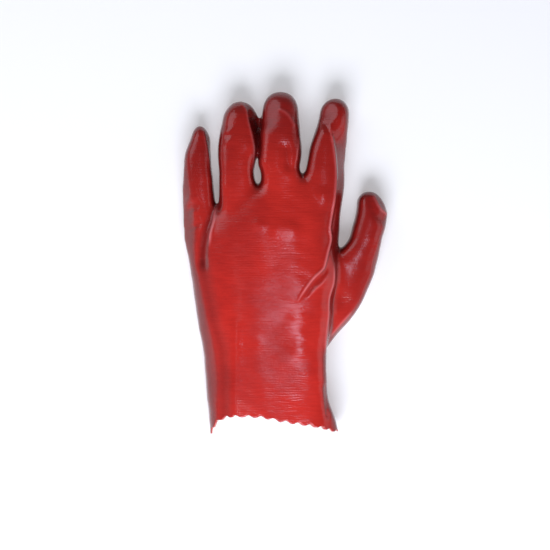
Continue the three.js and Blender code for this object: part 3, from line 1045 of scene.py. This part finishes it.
@dataclass
class GloveShell:
    """The one bonded wall of the glove, from its softened and folded outside to its lined inside.

    A pair of heights, normals or distances is where something starts and where it is whole. contact is where
    ring and middle fingers touch and the wall is thicker, and origin is the frame's place in the glove's own
    axes.
    """

    wall: float = 1.3
    fine: float = 1.3
    coarse: float = 1.6
    lining_share: float = 0.48
    thinning: float = 0.85
    settle_passes: int = 18
    root_passes: int = 22
    lining_passes: int = 8
    last_passes: int = 2
    root_below_fork: float = 14.0
    root_reach: tuple[float, float] = (20.0, 22.0)
    root_heights: tuple[float, float] = (16.0, 24.0)
    thumb_join: tuple[float, float] = (52.0, 108.0)
    thumb_reach: tuple[float, float] = (10.0, 32.0)
    thumb_heights: tuple[float, float] = (6.0, 12.0)
    contact: Mark = Mark(((-5.2, 214.0), (-5.2, 247.0)), 8.0, 0.7)
    upward: tuple[float, float] = (-0.1, 0.55)
    clear_of_bench: tuple[float, float] = (1.0, 6.0)
    crisp_above: float = 8.0
    flat_below: float = 0.01
    flat_pull: float = 1000.0
    root_share: float = 0.5
    root_fade: tuple[float, float] = (0.5, 1.3)
    # the heights where the painted highlight on ridges and the painted shade in creases start and are whole
    painted_light_heights: tuple[float, float] = (6.0, 14.0)
    # painted shade that darkens the coating with the distance from a place on the hand's back, towards the
    # digits and the sides: the place, how much across counts on each side, and where the shade starts and is
    # whole
    least_shade_at: float = 95.0
    shade_across: tuple[float, float] = (2.1, 1.75)
    shade_reach: tuple[float, float] = (88.0, 160.0)
    # how the painted highlight on the ridges fades towards the fingertips: where it starts and ends, and how
    # much it fades
    ridge_fade_from: tuple[float, float] = (168.0, 195.0)
    ridge_fade_share: float = 0.55
    origin: tuple[float, float, float] = (15.05, 135.75, 0.0)
    form: HandForm = field(default_factory=HandForm)
    relief: Relief = field(default_factory=Relief)
    rim: PinkedEdge = field(default_factory=PinkedEdge)

    def root_weight(self, points: Array) -> Array:
        """How much more a point softens because the digits meet the hand there.

        Args:
            points: n by 3.

        Returns:
            A weight from 0 to 1 for each point.
        """

        def near(x: float, y: float, reach: tuple[float, float]) -> Array:
            """How near a point is to a place: 1 inside the start of its reach's fade, 0 outside its end."""
            away = np.hypot((points[:, 0] - x) / reach[0], (points[:, 1] - y) / reach[1])
            return 1.0 - smoothstep(away, *self.root_fade)

        weight = np.zeros(len(points))
        for digit in self.form.digits:
            x, y = digit.fork_across * self.form.body_width, digit.fork_up * self.form.body_length
            weight = np.maximum(weight, near(x, y - self.root_below_fork, self.root_reach))
        weight *= smoothstep(points[:, 2], *self.root_heights)
        thumb = near(*self.thumb_join, self.thumb_reach) * smoothstep(points[:, 2], *self.thumb_heights)
        return np.maximum(weight, thumb)

    def grounded(self, points: Array, inset: float) -> Array:
        """The points with what would go through the bench flattened on it."""
        return np.stack([points[:, 0], points[:, 1], np.maximum(points[:, 2], inset)], axis=1)

    def outside(self) -> bpy.types.Object:
        """The whole outer skin, closed, in millimetres.

        Returns:
            The object, finer beside the narrow marks and coarser on the bench.
        """
        solid = self.form.whole()
        solid.vertices = self.grounded(solid.vertices, 0.0)
        obj = remeshed(solid.to_object("outside"), self.fine, "outside")
        mesh = obj.data
        points = settled(mesh, self.settle_passes)
        weight = self.root_share * self.root_weight(points)
        points = relaxed(points, read_edges(mesh), weight, self.root_passes)
        write_points(mesh, points)
        self.refine(mesh)
        points = settled(mesh, self.last_passes)
        write_points(mesh, points)
        normals = read_normals(mesh)
        upward = smoothstep(normals[:, 2], *self.upward)
        clear = smoothstep(points[:, 2], *self.clear_of_bench)
        lift = self.relief.lift(points[:, :2]) * upward * clear
        lift += self.relief.total(self.relief.fuller, points[:, :2]) * clear
        points = points + normals * (lift + self.relief.swell(points) * clear)[:, None]
        write_points(mesh, self.grounded(points, 0.0))
        return self.thinned(obj)

    def refine(self, mesh: bpy.types.Mesh) -> None:
        """Split the edges beside the narrow marks in three, so that the marks stay crisp.

        Args:
            mesh: the mesh, changed in place.
        """
        points, edges = read_points(mesh), read_edges(mesh)
        close = self.relief.crisp(points[:, :2]) & (points[:, 2] > self.crisp_above)
        form = bmesh.new()
        form.from_mesh(mesh)
        form.edges.ensure_lookup_table()
        chosen = [form.edges[i] for i in np.flatnonzero(close[edges].all(axis=1))]
        bmesh.ops.subdivide_edges(form, edges=chosen, cuts=2, use_grid_fill=True)
        form.to_mesh(mesh)
        form.free()

    def thinned(self, obj: bpy.types.Object) -> bpy.types.Object:
        """obj with few faces where it lies flat on the bench.

        Args:
            obj: the skin. It is removed.

        Returns:
            The new object.
        """
        points = read_points(obj.data)
        flat = np.flatnonzero(points[:, 2] < self.flat_below)
        group = obj.vertex_groups.new(name="flat")
        group.add(flat.tolist(), 1.0, "REPLACE")
        modifier = obj.modifiers.new("thin", "DECIMATE")
        modifier.ratio = 1.0 - self.thinning * len(flat) / len(points)
        modifier.vertex_group = "flat"
        modifier.vertex_group_factor = self.flat_pull
        return baked(obj, "outside")

    def inside(self, outer: bpy.types.Object) -> bpy.types.Object:
        """The lining's surface: the outside moved in by the wall, in a coarser skin that mends its
        crossings, thinned to a share of its faces.

        Args:
            outer: the outer skin, left as it is.

        Returns:
            The object.
        """
        copy = placed("inside", outer.data.copy())
        mesh = copy.data
        write_points(mesh, settled(mesh, self.lining_passes))
        points = read_points(mesh)
        depth = self.wall + self.relief.total([self.contact], points[:, :2])
        points = points - read_normals(mesh) * depth[:, None]
        write_points(mesh, self.grounded(points, self.wall))
        skin = remeshed(copy, self.coarse, "inside")
        skin.modifiers.new("thin", "DECIMATE").ratio = self.lining_share
        skin = baked(skin, "inside")
        write_points(skin.data, self.grounded(settled(skin.data, self.last_passes), self.wall))
        return skin

    @staticmethod
    def marked(obj: bpy.types.Object, face: Face) -> None:
        """Give all of obj's faces one slot, with the slots before it empty.

        Args:
            obj: a closed mesh.
            face: the kind of face that it leaves on the wall.
        """
        for _ in Face:
            obj.data.materials.append(None)
        obj.data.polygons.foreach_set("material_index", [face.value] * len(obj.data.polygons))

    @staticmethod
    def less(obj: bpy.types.Object, cutter: bpy.types.Object) -> None:
        """Take a cutter off obj with an exact solid solver that keeps the slots.

        Args:
            obj: the object, which gets the modifier.
            cutter: what is taken off.
        """
        modifier = obj.modifiers.new("cut", "BOOLEAN")
        modifier.operation = "DIFFERENCE"
        modifier.solver = "MANIFOLD"
        modifier.object = cutter

    def build(self, name: str) -> bpy.types.Object:
        """The finished wall as one object at the origin, in metres, its place in its mesh.

        Args:
            name: the object's name.

        Returns:
            The object, with a slot for each kind of face and the attribute layer, 1 on the coating's side.
        """
        outer = self.outside()
        LOG.info("outside: %d vertices", len(outer.data.vertices))
        inner = self.inside(outer)
        LOG.info("inside: %d vertices", len(inner.data.vertices))
        waste = self.rim.waste(self.form).to_object("waste")
        for obj, face in ((outer, Face.COATING), (inner, Face.LINING), (waste, Face.CUT)):
            self.marked(obj, face)
        self.less(outer, inner)
        self.less(outer, waste)
        shell = baked(outer, name)
        for used in (inner, waste):
            bpy.data.objects.remove(used)
        mesh = shell.data
        self.painted_light(mesh)
        write_points(mesh, (read_points(mesh) - np.array(self.origin)) * MM)
        self.layered(mesh)
        mesh.polygons.foreach_set("use_smooth", [True] * len(mesh.polygons))
        mesh.update()
        return shell

    def painted_light(self, mesh: bpy.types.Mesh) -> None:
        """Store the painted light of each vertex: a painted highlight on the top of a ridge, and painted shade
        in a valley, on a steep wall and with the distance from the hand's back, towards the digits and the
        sides.

        Steepness is 1 - |the normal's z|, and the shade away from the hand's back grows with the distance from
        a place on the hand's back.

        Args:
            mesh: the wall's mesh, still in millimetres.
        """
        points = read_points(mesh)
        top = smoothstep(points[:, 2], *self.painted_light_heights)
        # Painted shade that grows with the distance from a place on the hand's back, darkening the digits and
        # the sides.
        across = points[:, 0] * np.where(points[:, 0] > 0.0, *self.shade_across)
        distance_shade = smoothstep(np.hypot(across, points[:, 1] - self.least_shade_at), *self.shade_reach)
        # Steepness, which darkens the coating as painted shade on steep walls.
        slant = 1.0 - np.abs(read_normals(mesh)[:, 2])
        store(mesh, "distance_shade", distance_shade)
        store(mesh, "slant", slant)
        # A painted highlight along the tops of the narrow raised marks, weaker towards the fingertips.
        ridge_fade = self.ridge_fade_share * smoothstep(points[:, 1], *self.ridge_fade_from)
        ridges = self.relief.ridges(points[:, :2]) * (1.0 - ridge_fade)
        store(mesh, "ridge", np.clip(ridges, 0.0, 1.0) * top)
        # Painted shade in the creases and between the touching fingers.
        store(mesh, "valley_shade", np.clip(self.relief.valleys(points[:, :2]), 0.0, 1.0) * top)

    @staticmethod
    def layered(mesh: bpy.types.Mesh) -> None:
        """Store, for each vertex, 1 if it touches the coating and 0 if only the lining or the cut.

        Args:
            mesh: the wall's mesh.
        """
        corners = read(mesh.loops, "vertex_index", 1, np.int64)[:, 0]
        totals = read(mesh.polygons, "loop_total", 1, np.int64)[:, 0]
        slots = read(mesh.polygons, "material_index", 1, np.int64)[:, 0]
        layer = np.zeros(len(mesh.vertices))
        layer[corners[np.repeat(slots == Face.COATING.value, totals)]] = 1.0
        store(mesh, "layer", layer)


Socket = bpy.types.NodeSocket
Sockets = bpy.types.bpy_prop_collection
Inputs = dict[str | int, object]
Colour = tuple[float, float, float, float]


@dataclass
class Nodes:
    """A node tree being drawn up: short ways to add nodes and join them."""

    tree: bpy.types.NodeTree

    def add(self, kind: str, inputs: Inputs | None = None, **settings: object) -> bpy.types.Node:
        """A new node with settings, and with inputs set to values or joined to sockets.

        Args:
            kind: the node's type.
            inputs: values or sockets by the name or number of the input.
            settings: the node's own properties.

        Returns:
            The node.
        """
        node = self.tree.nodes.new(kind)
        for name, value in settings.items():
            setattr(node, name, value)
        for name, value in (inputs or {}).items():
            self.put(node.inputs[name], value)
        return node

    def put(self, socket: Socket, value: object) -> None:
        """Join a socket to another, or set its value.

        Args:
            socket: the input.
            value: a socket or a value.
        """
        if isinstance(value, bpy.types.NodeSocket):
            self.tree.links.new(value, socket)
        else:
            socket.default_value = value

    def math(self, operation: str, *values: object) -> Socket:
        """A Math node's result."""
        return self.add("ShaderNodeMath", dict(enumerate(values)), operation=operation).outputs[0]

    def spread(self, value: Socket, low: float, high: float, to_low: float, to_high: float) -> Socket:
        """A value carried smoothly from one range to another."""
        inputs = {0: value, 1: low, 2: high, 3: to_low, 4: to_high}
        return self.add("ShaderNodeMapRange", inputs, interpolation_type="SMOOTHSTEP").outputs[0]

    def mix(self, share: object, one: object, other: object) -> Socket:
        """Two colours mixed by a share.

        Args:
            share: how much of the other, from 0 to 1.
            one: a colour or a socket.
            other: a colour or a socket.

        Returns:
            The mixed colour.
        """
        node = self.add("ShaderNodeMix", data_type="RGBA")
        for name, value in (("Factor_Float", share), ("A_Color", one), ("B_Color", other)):
            self.put(next(s for s in node.inputs if s.identifier == name), value)
        return next(s for s in node.outputs if s.identifier == "Result_Color")

    def noise(self, where: Socket, scale: float, detail: float = 3.0) -> Socket:
        """A noise texture's value."""
        return self.add("ShaderNodeTexNoise", {"Vector": where, "Scale": scale, "Detail": detail}).outputs[0]


def group(name: str, inputs: dict[str, float], outputs: Sequence[str]) -> tuple[Nodes, Sockets, Sockets]:
    """A shared effect, empty as yet: a group of nodes that is read at a place, Where.

    Args:
        name: the group's name.
        inputs: its other inputs and their values.
        outputs: its outputs, each a number.

    Returns:
        Its nodes, and its inputs and outputs as the sockets inside it.
    """
    tree = bpy.data.node_groups.new(name, "ShaderNodeTree")
    tree.interface.new_socket("Where", in_out="INPUT", socket_type="NodeSocketVector")
    for key, value in inputs.items():
        tree.interface.new_socket(key, in_out="INPUT", socket_type="NodeSocketFloat").default_value = value
    for key in outputs:
        tree.interface.new_socket(key, in_out="OUTPUT", socket_type="NodeSocketFloat")
    nodes = Nodes(tree)
    return nodes, nodes.add("NodeGroupInput").outputs, nodes.add("NodeGroupOutput").inputs


@dataclass(frozen=True)
class KnitCourses:
    """The courses of the knit: wandering bands across the glove, one a pitch, and short streaks.

    Lengths are in metres, a noise's scale is in turns a metre, and a range is the part of a noise that is used.
    """

    pitch: float = 0.0018
    wander: float = 0.0032
    wander_scale: float = 45.0
    jitter: float = 0.0006
    jitter_scale: float = 420.0
    patch_scale: float = 38.0
    patchiness: float = 0.5
    patch_range: tuple[float, float] = (0.38, 0.62)
    streak_scale: tuple[float, float, float] = (90.0, 560.0, 90.0)
    streak_range: tuple[float, float] = (0.34, 0.66)

    def built(self) -> bpy.types.NodeTree:
        """The group. Height is half of 1 + sin(2 pi (y + wander) / pitch), times what a slow noise leaves
        of it.

        Returns:
            The group, with the outputs Height and Streaks.
        """
        n, given, out = group("KnitCourses", {"Patchiness": self.patchiness}, ("Height", "Streaks"))
        where = given["Where"]
        drawn_out = n.add("ShaderNodeVectorMath", {0: where, 1: self.streak_scale}, operation="MULTIPLY")
        streaks = n.noise(drawn_out.outputs[0], 1.0, 2.0)
        n.put(out["Streaks"], n.spread(streaks, *self.streak_range, 0.0, 1.0))
        run = n.add("ShaderNodeSeparateXYZ", {0: where}).outputs["Y"]
        moves = ((self.wander_scale, 2.0, self.wander), (self.jitter_scale, 1.0, self.jitter))
        for scale, detail, most in moves:
            run = n.math("MULTIPLY_ADD", n.math("SUBTRACT", n.noise(where, scale, detail), 0.5), most, run)
        turn = n.math("MULTIPLY", run, 2.0 * math.pi / self.pitch)
        wave = n.math("MULTIPLY_ADD", n.math("SINE", turn), 0.5, 0.5)
        bare = n.spread(n.noise(where, self.patch_scale), *self.patch_range, 1.0, 0.0)
        keep = n.math("SUBTRACT", 1.0, n.math("MULTIPLY", given["Patchiness"], bare))
        n.put(out["Height"], n.math("MULTIPLY", wave, keep))
        return n.tree


@dataclass(frozen=True)
class Mottle:
    """Unevenness of colour and gloss: slow clouds and fine specks, each from 0 to 1.

    Each is given as its noise's scale and the range of it that is spread.
    """

    clouds: tuple[float, float, float] = (22.0, 0.32, 0.68)
    specks: tuple[float, float, float] = (700.0, 0.3, 0.7)
    detail: float = 4.0

    def built(self) -> bpy.types.NodeTree:
        """The group: the two noises, each spread about its middle.

        Returns:
            The group, with the outputs Clouds and Specks.
        """
        n, given, out = group("Mottle", {}, ("Clouds", "Specks"))
        for name, (scale, low, high) in (("Clouds", self.clouds), ("Specks", self.specks)):
            n.put(out[name], n.spread(n.noise(given["Where"], scale, self.detail), low, high, 0.0, 1.0))
        return n.tree


@dataclass(frozen=True)
class SharedEffects:
    """The node groups that more than one finish uses, each built once."""

    courses: bpy.types.NodeTree = field(default_factory=lambda: KnitCourses().built())
    mottle: bpy.types.NodeTree = field(default_factory=lambda: Mottle().built())


@dataclass
class Finish:
    """A material being drawn up: its nodes, its shader and the object coordinates that it is read at."""

    name: str

    def __post_init__(self) -> None:
        """Start the material with a shader that shows on the surface."""
        self.material = bpy.data.materials.new(self.name)
        self.material.use_nodes = True
        self.material.node_tree.nodes.clear()
        self.nodes = Nodes(self.material.node_tree)
        self.shader = self.nodes.add("ShaderNodeBsdfPrincipled")
        self.nodes.add("ShaderNodeOutputMaterial", {"Surface": self.shader.outputs[0]})
        self.where = self.nodes.add("ShaderNodeTexCoord").outputs["Object"]

    def effect(self, tree: bpy.types.NodeTree, **inputs: float) -> Sockets:
        """A shared effect's outputs."""
        return self.nodes.add("ShaderNodeGroup", {"Where": self.where, **inputs}, node_tree=tree).outputs

    def mask(self, name: str) -> Socket:
        """A share that the mesh holds for each vertex."""
        return self.nodes.add("ShaderNodeAttribute", attribute_name=name).outputs["Fac"]

    def sets(self, **values: object) -> None:
        """Set or join the shader's inputs, whose names have _ for each space."""
        for name, value in values.items():
            self.nodes.put(self.shader.inputs[name.replace("_", " ")], value)

    def bumped(self, height: Socket, distance: float) -> None:
        """Raise the surface by the height, in units of the distance."""
        inputs = {"Strength": 1.0, "Distance": distance, "Height": height}
        self.sets(Normal=self.nodes.add("ShaderNodeBump", inputs).outputs[0])


@dataclass(frozen=True)
class PvcCoating:
    """Glossy dipped PVC: red, a little uneven in depth and gloss, with the knit's courses telling through."""

    deep: Colour = (0.36, 0.013, 0.010, 1.0)
    full: Colour = (0.53, 0.023, 0.016, 1.0)
    # the colour of the painted highlight on ridges
    painted_light: Colour = (0.74, 0.17, 0.17, 1.0)
    # the colour of the painted shade
    shaded: Colour = (0.11, 0.004, 0.004, 1.0)
    full_shares: tuple[float, float, float] = (0.7, 0.1, 0.2)
    # how much of the painted shade away from the hand's back is mixed in
    distance_shade_share: float = 0.48
    # painted shade on steep walls: the steepness where it starts and where it is whole, and how much of the
    # shade
    steep: tuple[float, float] = (0.1, 0.45)
    steep_shade_share: float = 0.74
    # how much of the painted highlight the ridges get
    ridge_share: float = 0.75
    roughness: tuple[float, float] = (0.15, 0.25)
    course_height: float = 0.00003
    speck_height: float = 0.5
    streak_height: float = 1.2
    dimple_height: float = 2.2
    dimple_scale: float = 110.0
    ior: float = 1.47

    def material(self, effects: SharedEffects) -> bpy.types.Material:
        """The coating's material. Its colour goes from deep to full with the clouds, specks and streaks, to the
        shaded colour, as painted shade, in valleys, on steep walls and away from the hand's back, and to a
        painted highlight on ridges.

        Args:
            effects: the shared node groups.

        Returns:
            The material.
        """
        f = Finish("PvcCoating")
        n, mottle, courses = f.nodes, f.effect(effects.mottle), f.effect(effects.courses)
        cloudy, specked, streaked = self.full_shares
        share = n.math("MULTIPLY", mottle["Clouds"], cloudy)
        share = n.math("MULTIPLY_ADD", mottle["Specks"], specked, share)
        share = n.math("MULTIPLY_ADD", courses["Streaks"], streaked, share)
        # Painted shade: the strongest of the crease shade, the shade away from the hand's back and the shade on
        # steep walls.
        painted_shade = n.math("MAXIMUM", f.mask("valley_shade"), n.math("MULTIPLY", f.mask("distance_shade"), self.distance_shade_share))
        painted_shade = n.math("MAXIMUM", painted_shade, n.spread(f.mask("slant"), *self.steep, 0.0, self.steep_shade_share))
        red = n.mix(painted_shade, n.mix(share, self.deep, self.full), self.shaded)
        glossy, dull = self.roughness
        # The painted highlight on ridges goes over the painted shade.
        f.sets(
            Base_Color=n.mix(n.math("MULTIPLY", f.mask("ridge"), self.ridge_share), red, self.painted_light),
            Roughness=n.spread(mottle["Clouds"], 0.0, 1.0, dull, glossy),
            IOR=self.ior,
        )
        height = n.math("MULTIPLY_ADD", mottle["Specks"], self.speck_height, courses["Height"])
        height = n.math("MULTIPLY_ADD", courses["Streaks"], self.streak_height, height)
        height = n.math("MULTIPLY_ADD", n.noise(f.where, self.dimple_scale, 2.0), self.dimple_height, height)
        f.bumped(height, self.course_height)
        return f.material


@dataclass(frozen=True)
class CottonKnit:
    """The bare side of the cotton knit: cream, ribbed and matt, tinged where the coating soaked through."""

    thread: Colour = (0.74, 0.66, 0.54, 1.0)
    tinged: Colour = (0.62, 0.36, 0.30, 1.0)
    tinged_share: float = 0.5
    patchiness: float = 0.1
    speck_height: float = 0.6
    rib_height: float = 0.0003
    roughness: float = 0.92
    sheen: float = 0.3

    def material(self, effects: SharedEffects) -> bpy.types.Material:
        """The lining's material.

        Args:
            effects: the shared node groups.

        Returns:
            The material.
        """
        f = Finish("CottonKnit")
        n, mottle = f.nodes, f.effect(effects.mottle)
        courses = f.effect(effects.courses, Patchiness=self.patchiness)
        share = n.math("MULTIPLY", mottle["Clouds"], self.tinged_share)
        colour = n.mix(share, self.thread, self.tinged)
        f.sets(Base_Color=colour, Roughness=self.roughness, Sheen_Weight=self.sheen)
        height = n.math("MULTIPLY_ADD", mottle["Specks"], self.speck_height, courses["Height"])
        f.bumped(height, self.rib_height)
        return f.material


@dataclass(frozen=True)
class CutEdgeFinish:
    """The pinked edge: a red layer outside and the knit's pale, pink-stained threads inside."""

    coating: Colour = (0.40, 0.022, 0.02, 1.0)
    thread: Colour = (0.62, 0.34, 0.29, 1.0)
    raggedness: float = 0.3
    layer_range: tuple[float, float] = (0.45, 0.75)
    thread_height: float = 0.0002
    roughness: float = 0.7

    def material(self, effects: SharedEffects) -> bpy.types.Material:
        """The cut edge's material.

        Args:
            effects: the shared node groups.

        Returns:
            The material.
        """
        f = Finish("CutEdge")
        n, specks = f.nodes, f.effect(effects.mottle)["Specks"]
        ragged = n.math("MULTIPLY_ADD", specks, self.raggedness, f.mask("layer"))
        layer = n.spread(ragged, *self.layer_range, 0.0, 1.0)
        f.sets(Base_Color=n.mix(layer, self.thread, self.coating), Roughness=self.roughness)
        f.bumped(specks, self.thread_height)
        return f.material


@dataclass(frozen=True)
class Softbox:
    """A rectangular soft light: where it hangs, what it faces, its size and its brightness."""

    name: str
    at: tuple[float, float, float]
    size: tuple[float, float]
    radiance: float
    aim: tuple[float, float, float] = (0.0, 0.0, 0.0)
    colour: tuple[float, float, float] = (0.94, 0.97, 1.08)

    def build(self) -> None:
        """Hang it. Its power is its brightness times pi times its area."""
        data = bpy.data.lights.new(self.name, "AREA")
        data.shape = "RECTANGLE"
        data.size, data.size_y = self.size
        data.energy = self.radiance * math.pi * self.size[0] * self.size[1]
        data.color = self.colour
        obj = placed(self.name, data)
        obj.location = self.at
        obj.rotation_euler = (Vector(self.aim) - Vector(self.at)).to_track_quat("-Z", "Y").to_euler()


def softboxes() -> tuple[Softbox, ...]:
    """The studio's lights.

    Returns:
        The soft lights.
    """
    return (
        Softbox("KeyBelow", (-0.08, -1.1, 1.0), (1.1, 0.7), 12.8),
        Softbox("Panel", (0.078, 0.055, 1.28), (0.096, 0.45), 1.5, (0.078, 0.055, 0.0), (0.85, 0.98, 1.25)),
        Softbox("StripLeft", (-0.42, -0.2, 1.28), (0.1, 0.6), 0.9, (-0.42, -0.2, 0.0)),
        Softbox("TipsLeft", (-0.75, 0.8, 0.75), (1.0, 0.8), 1.7),
        Softbox("SideRight", (1.2, 0.1, 0.6), (0.9, 0.9), 0.8),
        Softbox("Spot", (0.12, -0.16, 1.3), (0.18, 0.16), 8.0, (0.0, 0.0, 0.0), (0.85, 0.98, 1.25)),
    )


@dataclass
class Studio:
    """The pale bench, the soft lights and the camera straight above."""

    floor_size: float = 6.0
    overhead: float = 0.1
    horizon: float = 0.4
    toward_fingers: float = 0.5
    overhead_range: tuple[float, float] = (0.15, 0.85)
    fingers_range: tuple[float, float] = (-0.9, 0.9)
    glow: float = 0.3
    floor_roughness: float = 0.9
    floor_specular: float = 0.1
    cloud_scale: float = 3.0
    floor_colours: tuple[Colour, Colour] = ((0.655, 0.65, 0.645, 1.0), (0.675, 0.67, 0.665, 1.0))
    sky_colour: Colour = (0.95, 0.98, 1.06, 1.0)
    camera_at: tuple[float, float, float] = (-0.0078, -0.0094, 1.2)
    lens: float = 99.2
    sensor: float = 36.0
    lights: tuple[Softbox, ...] = field(default_factory=softboxes)

    def floor(self) -> bpy.types.Object:
        """A flat pale bench that glows a little, as one lit from below does.

        Returns:
            The bench's object.
        """
        half = self.floor_size / 2
        corners = np.array([(-half, -half, 0.0), (half, -half, 0.0), (half, half, 0.0), (-half, half, 0.0)])
        obj = Solid(corners, [(0, 1, 2, 3)]).to_object("Bench")
        f = Finish("PaleBench")
        f.sets(
            Base_Color=f.nodes.mix(f.nodes.noise(f.where, self.cloud_scale), *self.floor_colours),
            Roughness=self.floor_roughness,
            Specular_IOR_Level=self.floor_specular,
            Emission_Color=(1.0, 1.0, 1.0, 1.0),
            Emission_Strength=self.glow,
        )
        obj.data.materials.append(f.material)
        return obj

    def world(self) -> None:
        """A surround that is bright at the horizon and dim overhead."""
        world = bpy.data.worlds.new("Surround")
        world.use_nodes = True
        n = Nodes(world.node_tree)
        background = world.node_tree.nodes["Background"]
        background.inputs["Color"].default_value = self.sky_colour
        toward = n.add("ShaderNodeTexCoord").outputs["Generated"]
        parts = n.add("ShaderNodeSeparateXYZ", {0: toward}).outputs
        level = n.spread(parts["Z"], *self.overhead_range, self.horizon, self.overhead)
        share = n.spread(parts["Y"], *self.fingers_range, 1.0, self.toward_fingers)
        n.put(background.inputs["Strength"], n.math("MULTIPLY", level, share))
        bpy.context.scene.world = world

    def camera(self) -> None:
        """The camera, looking straight down with the fingertips at the top."""
        data = bpy.data.cameras.new("Camera")
        data.lens = self.lens
        data.sensor_width = self.sensor
        obj = placed("Camera", data)
        obj.location = self.camera_at
        bpy.context.scene.camera = obj

    def build(self) -> None:
        """Set up the whole studio."""
        bpy.context.scene.view_settings.view_transform = "Standard"
        self.camera()
        self.world()
        for light in self.lights:
            light.build()
        self.floor()


def main() -> None:
    """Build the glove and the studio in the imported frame."""
    logging.basicConfig(level=logging.INFO, format="%(name)s: %(message)s")
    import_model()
    Studio().build()
    shell = GloveShell().build("glove_wall")
    effects = SharedEffects()
    finishes = (PvcCoating(), CottonKnit(), CutEdgeFinish())
    for slot, finish in enumerate(finishes):
        shell.data.materials[slot] = finish.material(effects)
    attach(shell, "root")
    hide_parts(SHELL_NODE)
    mesh = shell.data
    mesh.calc_loop_triangles()
    LOG.info("glove wall: %d triangles", len(mesh.loop_triangles))


if __name__ == "__main__":
    main()
